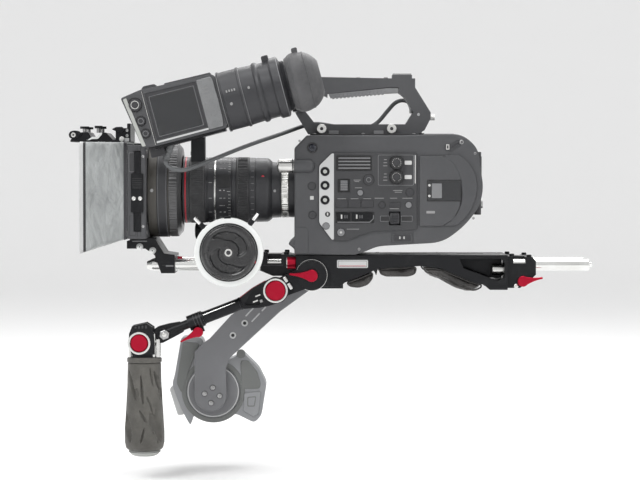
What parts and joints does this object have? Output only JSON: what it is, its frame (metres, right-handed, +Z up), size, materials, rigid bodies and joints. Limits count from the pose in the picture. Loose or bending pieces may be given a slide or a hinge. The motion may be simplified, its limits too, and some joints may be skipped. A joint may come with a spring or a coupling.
{
  "type": "cinema camera rig",
  "caption": "Shoulder-mounted cinema camera with zoom lens, matte box, viewfinder and follow focus on a padded rod baseplate with a telescopic handgrip arm.",
  "frame": {"origin": "centre of the tripod plate's bottom face, between the two cheeks", "axes": "+X to the rear of the camera, -Y to the operator's left, +Z up"},
  "size_m": [0.6815, 0.2478, 0.5188],
  "materials": {
    "anodised_black": "satin black anodised",
    "anodised_red": "satin crimson anodised",
    "polished_steel": "ground and polished",
    "machined_silver": "bright machined",
    "pad_leather": "soft creased leather",
    "grip_rubber": "matt moulded rubber",
    "camera_shell": "fine grained charcoal paint",
    "dark_plastic": "matt black moulding",
    "lens_black": "satin black lens paint",
    "ring_white": "satin white",
    "grey_rubber": "matt grey rubber",
    "eyecup_rubber": "soft matt rubber",
    "hood_fabric": "coated crinkled fabric",
    "cable_jacket": "satin cable jacket"
  },
  "bodies": {
    "support": {"left_cheek": "anodised_black", "right_cheek": "anodised_black", "top_plate": "anodised_black", "pad_carrier": "anodised_black", "tripod_plate": "anodised_black", "front_rod_clamp": "anodised_black", "rear_rod_clamp": "anodised_black", "front_rod_left": "polished_steel", "front_rod_right": "polished_steel", "rear_rod_left": "polished_steel", "rear_rod_right": "polished_steel", "shoulder_pad_front": "pad_leather", "shoulder_pad_middle": "pad_leather", "shoulder_pad_rear": "pad_leather", "arm_rosette": "anodised_black", "ff_bridge": "anodised_black", "ff_gearbox": "anodised_black", "camera_body": "camera_shell", "control_panel": "camera_shell", "top_handle": "camera_shell", "handle_grip": "grey_rubber", "lens_barrel": "lens_black", "matte_hood": "hood_fabric", "matte_frame": "dark_plastic", "matte_ring": "dark_plastic", "matte_bracket": "dark_plastic", "flag_bracket": "dark_plastic", "evf_arm": "dark_plastic", "evf_cable": "cable_jacket"},
    "rear_clamp_lever": {"rear_clamp_lever": "anodised_red"},
    "arm_link": {"arm_link": "anodised_black"},
    "rosette_lever": {"rosette_lever": "anodised_red"},
    "arm_tube_outer": {"arm_tube_outer": "anodised_black"},
    "elbow_button_upper": {"elbow_button_upper": "anodised_red"},
    "arm_tube_lever": {"arm_tube_lever": "anodised_red"},
    "arm_tube_inner": {"arm_tube_inner": "anodised_black"},
    "handgrip": {"grip_yoke": "machined_silver", "grip_core": "anodised_black", "hand_grip": "grip_rubber"},
    "elbow_button_lower": {"elbow_button_lower": "anodised_red"},
    "focus_wheel": {"ff_hand_wheel": "anodised_black", "ff_marking_ring": "ring_white"},
    "drive_gear": {"ff_drive_gear": "dark_plastic"},
    "focus_ring": {"lens_focus_ring": "lens_black"},
    "zoom_ring": {"lens_zoom_ring": "lens_black"},
    "mount_ring": {"lens_mount_ring": "machined_silver"},
    "filter_tray": {"filter_tray": "dark_plastic"},
    "viewfinder": {"evf_body": "camera_shell", "evf_loupe": "camera_shell", "evf_eyecup": "eyecup_rubber"},
    "card_door": {"card_door": "camera_shell"},
    "nd_dial": {"nd_dial": "machined_silver"},
    "audio_dial_upper": {"audio_dial_upper": "dark_plastic"},
    "audio_dial_lower": {"audio_dial_lower": "dark_plastic"},
    "select_wheel": {"select_wheel": "dark_plastic"},
    "assign_button_upper": {"assign_button_upper": "dark_plastic"},
    "assign_button_middle": {"assign_button_middle": "dark_plastic"},
    "assign_button_lower": {"assign_button_lower": "dark_plastic"},
    "remote_arm": {"remote_arm": "dark_plastic"},
    "remote_grip": {"remote_grip": "camera_shell"}
  },
  "joints": [
    {"name": "rear_lever_turn", "type": "hinge", "parent": "support", "child": "rear_clamp_lever", "pos_m": [0.2534, -0.045, 0.0096], "axis": [0, 1, 0], "range_deg": [0, 110]},
    {"name": "arm_swing", "type": "hinge", "parent": "support", "child": "arm_link", "pos_m": [-0.0215, -0.061, 0.0182], "axis": [0, 1, 0], "range_deg": [-60, 4]},
    {"name": "rosette_lever_turn", "type": "hinge", "parent": "arm_link", "child": "rosette_lever", "pos_m": [-0.0215, -0.07, 0.0182], "axis": [0, 1, 0], "range_deg": [0, 90]},
    {"name": "elbow_swing", "type": "hinge", "parent": "arm_link", "child": "arm_tube_outer", "pos_m": [-0.0678, -0.07, -0.0003], "axis": [0, 1, 0], "range_deg": [-60, 6]},
    {"name": "elbow_button_upper_press", "type": "slide", "parent": "arm_tube_outer", "child": "elbow_button_upper", "axis": [0, 1, 0], "range_m": [0, 0.0012], "stiffness_N_per_m": 500},
    {"name": "arm_lever_turn", "type": "hinge", "parent": "arm_tube_outer", "child": "arm_tube_lever", "pos_m": [-0.16725, -0.081, -0.05369], "axis": [0, 1, 0], "range_deg": [-70, 0]},
    {"name": "arm_extend", "type": "slide", "parent": "arm_tube_outer", "child": "arm_tube_inner", "axis": [-0.9329, 0, -0.3601], "range_m": [-0.008, 0.035]},
    {"name": "grip_tilt", "type": "hinge", "parent": "arm_tube_inner", "child": "handgrip", "pos_m": [-0.2427, -0.073, -0.0678], "axis": [0, 1, 0], "range_deg": [-25, 60]},
    {"name": "elbow_button_lower_press", "type": "slide", "parent": "handgrip", "child": "elbow_button_lower", "axis": [0, 1, 0], "range_m": [0, 0.0012], "stiffness_N_per_m": 500},
    {"name": "focus_wheel_turn", "type": "hinge", "parent": "support", "child": "focus_wheel", "pos_m": [-0.1266, -0.11, 0.0499], "axis": [0, 1, 0], "range_deg": [-120, 120]},
    {"name": "drive_gear_turn", "type": "hinge", "parent": "support", "child": "drive_gear", "pos_m": [-0.169, 0, 0.0739], "axis": [1, 0, 0], "range_deg": [-245, 245]},
    {"name": "focus_ring_turn", "type": "hinge", "parent": "support", "child": "focus_ring", "pos_m": [-0.171, 0, 0.128], "axis": [1, 0, 0], "range_deg": [-60, 60]},
    {"name": "zoom_ring_turn", "type": "hinge", "parent": "support", "child": "zoom_ring", "pos_m": [-0.1115, 0, 0.128], "axis": [1, 0, 0], "range_deg": [-40, 40]},
    {"name": "mount_ring_turn", "type": "hinge", "parent": "support", "child": "mount_ring", "pos_m": [-0.0564, 0, 0.128], "axis": [1, 0, 0], "range_deg": [0, 30]},
    {"name": "filter_tray_slide", "type": "slide", "parent": "support", "child": "filter_tray", "axis": [0, -1, 0], "range_m": [0, 0.14]},
    {"name": "viewfinder_tilt", "type": "hinge", "parent": "support", "child": "viewfinder", "pos_m": [-0.167, -0.104, 0.225], "axis": [0, 1, 0], "range_deg": [-60, 12], "deforming": ["evf_cable"]},
    {"name": "card_door_open", "type": "hinge", "parent": "support", "child": "card_door", "pos_m": [0.1183, -0.059, 0.1274], "axis": [0, 0, -1], "range_deg": [0, 110]},
    {"name": "nd_dial_turn", "type": "hinge", "parent": "support", "child": "nd_dial", "pos_m": [-0.055, -0.046, 0.1596], "axis": [1, 0, 0], "continuous": true},
    {"name": "audio_dial_upper_turn", "type": "hinge", "parent": "support", "child": "audio_dial_upper", "pos_m": [0.0883, -0.062, 0.1638], "axis": [0, 1, 0], "range_deg": [-150, 150]},
    {"name": "audio_dial_lower_turn", "type": "hinge", "parent": "support", "child": "audio_dial_lower", "pos_m": [0.0883, -0.062, 0.1453], "axis": [0, 1, 0], "range_deg": [-150, 150]},
    {"name": "select_wheel_turn", "type": "hinge", "parent": "support", "child": "select_wheel", "pos_m": [0.086, -0.0565, 0.0918], "axis": [1, 0, 0], "continuous": true},
    {"name": "assign_button_upper_press", "type": "slide", "parent": "support", "child": "assign_button_upper", "axis": [0, 1, 0], "range_m": [0, 0.0008], "stiffness_N_per_m": 500},
    {"name": "assign_button_middle_press", "type": "slide", "parent": "support", "child": "assign_button_middle", "axis": [0, 1, 0], "range_m": [0, 0.0008], "stiffness_N_per_m": 500},
    {"name": "assign_button_lower_press", "type": "slide", "parent": "support", "child": "assign_button_lower", "axis": [0, 1, 0], "range_m": [0, 0.0008], "stiffness_N_per_m": 500},
    {"name": "remote_arm_swing", "type": "hinge", "parent": "support", "child": "remote_arm", "pos_m": [-0.0215, 0.056, 0.0182], "axis": [0, 1, 0], "range_deg": [-45, 25]},
    {"name": "remote_grip_tilt", "type": "hinge", "parent": "remote_arm", "child": "remote_grip", "pos_m": [-0.1579, 0.066, -0.1495], "axis": [0, 1, 0], "range_deg": [-60, 60]}
  ],
  "couplings": [
    {"joint": "drive_gear_turn", "follows": "focus_wheel_turn", "ratio": 2},
    {"joint": "focus_ring_turn", "follows": "focus_wheel_turn", "ratio": -0.4758}
  ]
}
